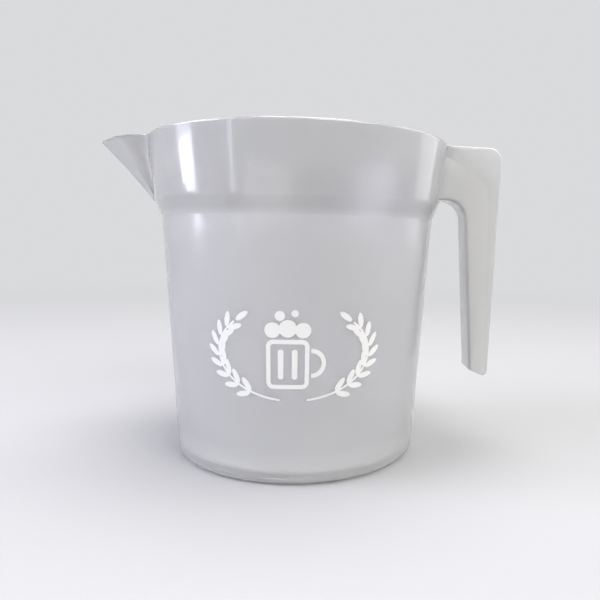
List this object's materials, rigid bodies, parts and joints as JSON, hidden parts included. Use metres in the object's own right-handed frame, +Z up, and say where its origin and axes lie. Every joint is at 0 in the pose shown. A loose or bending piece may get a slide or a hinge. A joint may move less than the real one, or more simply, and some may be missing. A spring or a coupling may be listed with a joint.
{
  "type": "beer pitcher",
  "caption": "Milky translucent moulded pitcher with a tapered cup, a stepped collar, a pointed pouring beak and an open-ended trough handle.",
  "frame": {"origin": "on the cup's axis, in the plane that the foot ring stands on", "axes": "+Z up along the cup's axis, +X towards the handle, -X towards the spout"},
  "size_m": [0.2005, 0.1478, 0.1522],
  "materials": {
    "milky_plastic": "smooth, milky and translucent"
  },
  "bodies": {
    "root": {"foot_ring": "milky_plastic", "cup_floor": "milky_plastic", "cup_wall": "milky_plastic", "shoulder": "milky_plastic", "collar": "milky_plastic", "rim_edge": "milky_plastic", "spout": "milky_plastic", "handle": "milky_plastic"}
  },
  "joints": []
}
